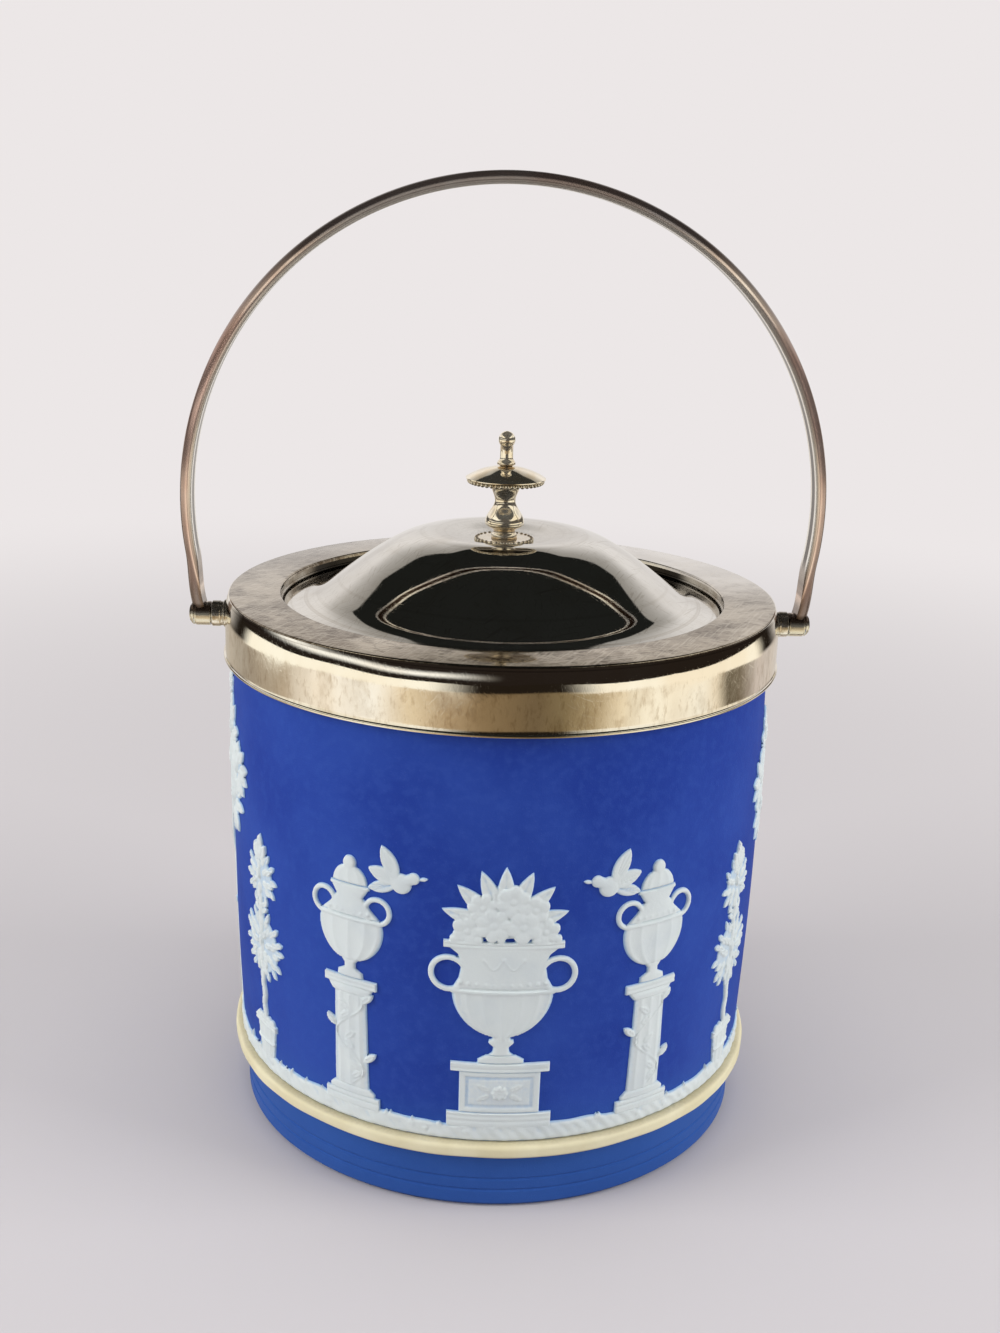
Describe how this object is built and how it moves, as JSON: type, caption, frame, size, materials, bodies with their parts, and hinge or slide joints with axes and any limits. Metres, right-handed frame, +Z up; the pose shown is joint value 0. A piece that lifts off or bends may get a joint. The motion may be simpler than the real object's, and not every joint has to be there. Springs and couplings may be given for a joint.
{
  "type": "biscuit jar",
  "caption": "Round stoneware biscuit jar with white applied relief, a plated collar, a domed lift-off lid with a turned finial and a swing handle.",
  "frame": {"origin": "centre of the foot, on the surface that the jar stands on", "axes": "+Z up; the handle's pivots lie along X; the front faces -Y"},
  "size_m": [0.1488, 0.129, 0.2184],
  "materials": {
    "stoneware": "matte, dry",
    "cream_clay": "matte",
    "white_clay": "matte",
    "plaster": "rough",
    "silver_plate": "mirror polish, lightly tarnished",
    "worn_plate": "polished, worn and tarnished",
    "handle_plate": "half bright, dark tarnish",
    "bright_turning": "bright turned metal",
    "hardware": "plain"
  },
  "bodies": {
    "jar": {"pot": "stoneware", "cream_band": "cream_clay", "ground_strip": "white_clay", "urn_relief": "white_clay", "bay_tree_relief": "white_clay", "vase_relief": "white_clay", "side_tree_relief": "white_clay", "dove_relief": "white_clay", "plaster_bedding": "plaster", "collar_wall": "worn_plate", "collar_plate": "silver_plate", "throat_ring": "silver_plate", "left_lug": "worn_plate", "right_lug": "worn_plate", "left_pivot_pin": "handle_plate", "right_pivot_pin": "handle_plate"},
    "handle": {"bow_handle": "handle_plate"},
    "lid": {"lid_dome": "silver_plate", "lid_bezel": "silver_plate", "finial_foot_plate": "bright_turning", "finial_stem": "bright_turning", "finial_disc": "bright_turning", "finial_tip": "bright_turning", "finial_stud": "hardware", "finial_washer": "hardware", "finial_nut": "hardware"}
  },
  "joints": [
    {"name": "handle_swing", "type": "hinge", "parent": "jar", "child": "handle", "pos_m": [0, 0, 0.1177], "axis": [1, 0, 0], "range_deg": [-136, 136]},
    {"name": "lid_lift", "type": "slide", "parent": "jar", "child": "lid", "axis": [0, 0, 1], "range_m": [0, 0.045]}
  ]
}
